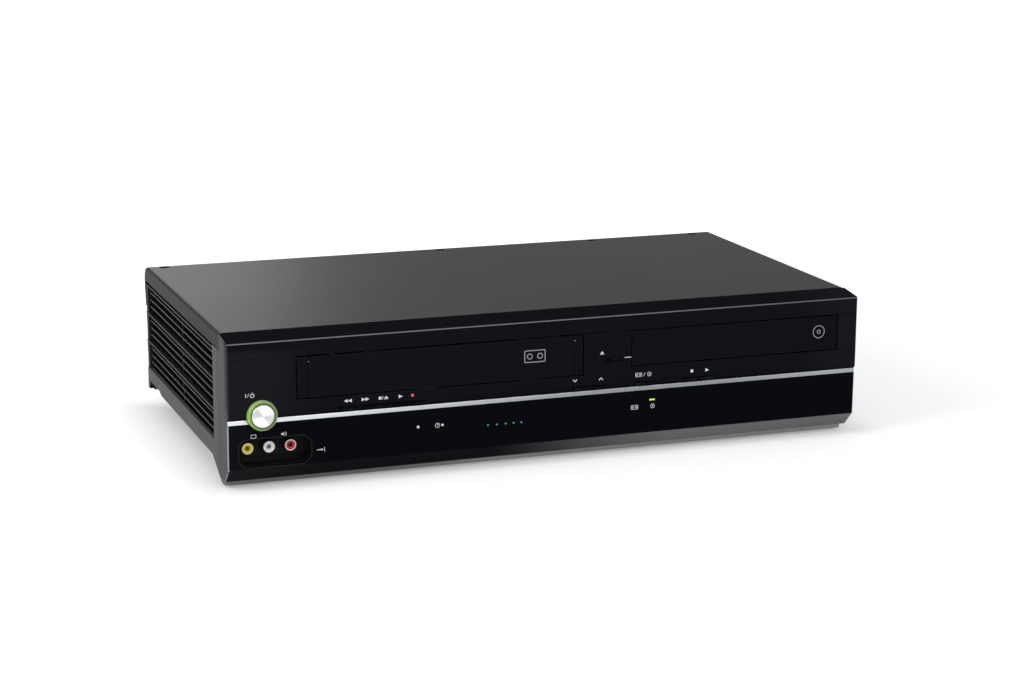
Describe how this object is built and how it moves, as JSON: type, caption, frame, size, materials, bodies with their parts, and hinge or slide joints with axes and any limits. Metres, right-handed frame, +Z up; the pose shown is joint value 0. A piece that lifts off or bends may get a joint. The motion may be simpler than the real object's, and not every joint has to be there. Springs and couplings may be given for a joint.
{
  "type": "disc player and tape recorder",
  "caption": "Full-width combined disc player and cassette tape recorder: hinged tape door, sliding disc tray, louvred sides, push keys, lit power button and phono sockets.",
  "frame": {"origin": "middle of the footprint, on the surface that the feet rest on", "axes": "+X to the viewer's right along the width, -Y towards the front, +Z up"},
  "size_m": [0.435, 0.256, 0.0995],
  "materials": {
    "cabinet_plastic": "satin charcoal moulding with a fine grain",
    "cover_paint": "satin charcoal paint",
    "panel_paint": "black paint",
    "bezel_gloss": "polished black",
    "window_smoke": "smoked, polished",
    "trim_silver": "satin",
    "foot_rubber": "matt",
    "screw_steel": "blackened",
    "button_silver": "spun face",
    "ring_green": "lit translucent green",
    "key_gloss": "polished black",
    "socket_black": "matt black",
    "socket_yellow": "yellow",
    "socket_white": "white",
    "socket_red": "red",
    "board_tan": "phenolic board",
    "board_green": "solder-resist green",
    "tray_plastic": "fine grain",
    "loader_plastic": "moulded",
    "bridge_steel": "zinc plated sheet",
    "white_acetal": "natural acetal",
    "turntable_black": "moulded",
    "motor_steel": "bright",
    "drum_aluminium": "diamond turned",
    "roller_rubber": "matt",
    "guide_brass": "turned",
    "antenna_metal": "bright plated"
  },
  "bodies": {
    "cabinet": {"main_chassis": "cabinet_plastic", "top_cover": "cover_paint", "rear_panel": "panel_paint", "front_bezel": "bezel_gloss", "display_window": "window_smoke", "trim_bar": "trim_silver", "feet": "foot_rubber", "cover_screws": "screw_steel", "power_ring": "ring_green", "socket_block": "socket_black", "video_socket": "socket_yellow", "left_audio_socket": "socket_white", "right_audio_socket": "socket_red", "front_board": "board_tan", "display_module": "socket_black", "loader_frame": "loader_plastic", "clamp_bridge": "bridge_steel", "loader_motor": "motor_steel", "deck_plate": "bridge_steel", "deck_rails": "bridge_steel", "lower_drum": "drum_aluminium", "tape_heads": "motor_steel", "main_board": "board_green", "power_board": "board_tan", "rear_sockets": "socket_black", "antenna_sockets": "antenna_metal", "power_inlet": "socket_black"},
    "power_button": {"power_button": "button_silver"},
    "rewind_key": {"rewind_key": "key_gloss"},
    "fast_forward_key": {"fast_forward_key": "key_gloss"},
    "stop_eject_key": {"stop_eject_key": "key_gloss"},
    "play_key": {"play_key": "key_gloss"},
    "record_key": {"record_key": "key_gloss"},
    "tracking_down_key": {"tracking_down_key": "key_gloss"},
    "tracking_up_key": {"tracking_up_key": "key_gloss"},
    "source_key": {"source_key": "key_gloss"},
    "disc_stop_key": {"disc_stop_key": "key_gloss"},
    "disc_play_key": {"disc_play_key": "key_gloss"},
    "open_close_key": {"open_close_key": "key_gloss"},
    "tape_door": {"tape_door": "bezel_gloss"},
    "disc_tray": {"disc_tray": "tray_plastic", "tray_panel": "bezel_gloss"},
    "tray_gear": {"tray_gear": "white_acetal"},
    "motor_pinion": {"motor_pinion": "white_acetal"},
    "traverse": {"traverse_frame": "loader_plastic", "spindle_motor": "motor_steel", "guide_rods": "motor_steel"},
    "turntable": {"turntable": "turntable_black"},
    "clamp_puck": {"clamp_puck": "white_acetal"},
    "pickup_sled": {"pickup_sled": "loader_plastic"},
    "holder_slider": {"holder_slider": "bridge_steel"},
    "cassette_holder": {"cassette_holder": "bridge_steel"},
    "upper_drum": {"upper_drum": "drum_aluminium"},
    "supply_reel": {"supply_reel": "turntable_black"},
    "takeup_reel": {"takeup_reel": "turntable_black"},
    "capstan": {"capstan": "motor_steel"},
    "pinch_arm": {"pinch_arm": "motor_steel"},
    "pinch_roller": {"pinch_roller": "roller_rubber"},
    "left_tape_guide": {"left_tape_guide": "guide_brass"},
    "right_tape_guide": {"right_tape_guide": "guide_brass"}
  },
  "joints": [
    {"name": "power_press", "type": "slide", "parent": "cabinet", "child": "power_button", "axis": [0, 1, 0], "range_m": [0, 0.0012], "stiffness_N_per_m": 400},
    {"name": "rewind_press", "type": "slide", "parent": "cabinet", "child": "rewind_key", "axis": [0, 1, 0], "range_m": [0, 0.0008], "stiffness_N_per_m": 400},
    {"name": "fast_forward_press", "type": "slide", "parent": "cabinet", "child": "fast_forward_key", "axis": [0, 1, 0], "range_m": [0, 0.0008], "stiffness_N_per_m": 400},
    {"name": "stop_eject_press", "type": "slide", "parent": "cabinet", "child": "stop_eject_key", "axis": [0, 1, 0], "range_m": [0, 0.0008], "stiffness_N_per_m": 400},
    {"name": "play_press", "type": "slide", "parent": "cabinet", "child": "play_key", "axis": [0, 1, 0], "range_m": [0, 0.0008], "stiffness_N_per_m": 400},
    {"name": "record_press", "type": "slide", "parent": "cabinet", "child": "record_key", "axis": [0, 1, 0], "range_m": [0, 0.0008], "stiffness_N_per_m": 400},
    {"name": "tracking_down_press", "type": "slide", "parent": "cabinet", "child": "tracking_down_key", "axis": [0, 1, 0], "range_m": [0, 0.0008], "stiffness_N_per_m": 400},
    {"name": "tracking_up_press", "type": "slide", "parent": "cabinet", "child": "tracking_up_key", "axis": [0, 1, 0], "range_m": [0, 0.0008], "stiffness_N_per_m": 400},
    {"name": "source_press", "type": "slide", "parent": "cabinet", "child": "source_key", "axis": [0, 1, 0], "range_m": [0, 0.0008], "stiffness_N_per_m": 400},
    {"name": "disc_stop_press", "type": "slide", "parent": "cabinet", "child": "disc_stop_key", "axis": [0, 1, 0], "range_m": [0, 0.0008], "stiffness_N_per_m": 400},
    {"name": "disc_play_press", "type": "slide", "parent": "cabinet", "child": "disc_play_key", "axis": [0, 1, 0], "range_m": [0, 0.0008], "stiffness_N_per_m": 400},
    {"name": "open_close_press", "type": "slide", "parent": "cabinet", "child": "open_close_key", "axis": [0, 1, 0], "range_m": [0, 0.0008], "stiffness_N_per_m": 400},
    {"name": "door_swing", "type": "hinge", "parent": "cabinet", "child": "tape_door", "pos_m": [-0.07752, -0.1228, 0.0844], "axis": [1, 0, 0], "range_deg": [0, 90], "stiffness_Nm_per_rad": 0.006, "springref_deg": -11.46},
    {"name": "tray_slide", "type": "slide", "parent": "cabinet", "child": "disc_tray", "axis": [0, -1, 0], "range_m": [0, 0.128]},
    {"name": "tray_gear_turn", "type": "hinge", "parent": "cabinet", "child": "tray_gear", "pos_m": [0.08148, -0.096, 0.067], "axis": [0, 0, 1], "range_deg": [0, 917]},
    {"name": "motor_turn", "type": "hinge", "parent": "cabinet", "child": "motor_pinion", "pos_m": [0.10748, -0.096, 0.067], "axis": [0, 0, 1], "range_deg": [-2063, 0]},
    {"name": "traverse_tilt", "type": "hinge", "parent": "cabinet", "child": "traverse", "pos_m": [0.12748, 0.042, 0.0565], "axis": [1, 0, 0], "range_deg": [0, 4]},
    {"name": "turntable_spin", "type": "hinge", "parent": "traverse", "child": "turntable", "pos_m": [0.12748, -0.058, 0.055], "axis": [0, 0, 1], "continuous": true},
    {"name": "puck_spin", "type": "hinge", "parent": "cabinet", "child": "clamp_puck", "pos_m": [0.12748, -0.058, 0.073], "axis": [0, 0, 1], "continuous": true},
    {"name": "sled_slide", "type": "slide", "parent": "traverse", "child": "pickup_sled", "axis": [0, 1, 0], "range_m": [0, 0.034]},
    {"name": "holder_in", "type": "slide", "parent": "cabinet", "child": "holder_slider", "axis": [0, 1, 0], "range_m": [0, 0.038]},
    {"name": "holder_down", "type": "slide", "parent": "holder_slider", "child": "cassette_holder", "axis": [0, 0, -1], "range_m": [0, 0.02]},
    {"name": "drum_spin", "type": "hinge", "parent": "cabinet", "child": "upper_drum", "pos_m": [-0.07752, 0.042, 0.0345], "axis": [0, 0.0872, 0.9962], "continuous": true},
    {"name": "supply_spin", "type": "hinge", "parent": "cabinet", "child": "supply_reel", "pos_m": [-0.12351, -0.028, 0.0315], "axis": [0, 0, 1], "continuous": true},
    {"name": "takeup_spin", "type": "hinge", "parent": "cabinet", "child": "takeup_reel", "pos_m": [-0.03152, -0.028, 0.0315], "axis": [0, 0, 1], "continuous": true},
    {"name": "capstan_spin", "type": "hinge", "parent": "cabinet", "child": "capstan", "pos_m": [-0.01151, 0.018, 0.0315], "axis": [0, 0, 1], "continuous": true},
    {"name": "pinch_swing", "type": "hinge", "parent": "cabinet", "child": "pinch_arm", "pos_m": [0.00248, 0.04, 0.0315], "axis": [0, 0, 1], "range_deg": [-10.5, 0]},
    {"name": "roller_spin", "type": "hinge", "parent": "pinch_arm", "child": "pinch_roller", "pos_m": [-0.00052, 0.02, 0.0315], "axis": [0, 0, 1], "continuous": true},
    {"name": "left_guide_slide", "type": "slide", "parent": "cabinet", "child": "left_tape_guide", "axis": [0, 1, 0], "range_m": [0, 0.03]},
    {"name": "right_guide_slide", "type": "slide", "parent": "cabinet", "child": "right_tape_guide", "axis": [0, 1, 0], "range_m": [0, 0.03]}
  ],
  "couplings": [
    {"joint": "tray_gear_turn", "follows": "tray_slide", "rad_per_m": 125},
    {"joint": "motor_turn", "follows": "tray_slide", "rad_per_m": -281.25},
    {"joint": "right_guide_slide", "follows": "left_guide_slide", "ratio": 1}
  ]
}
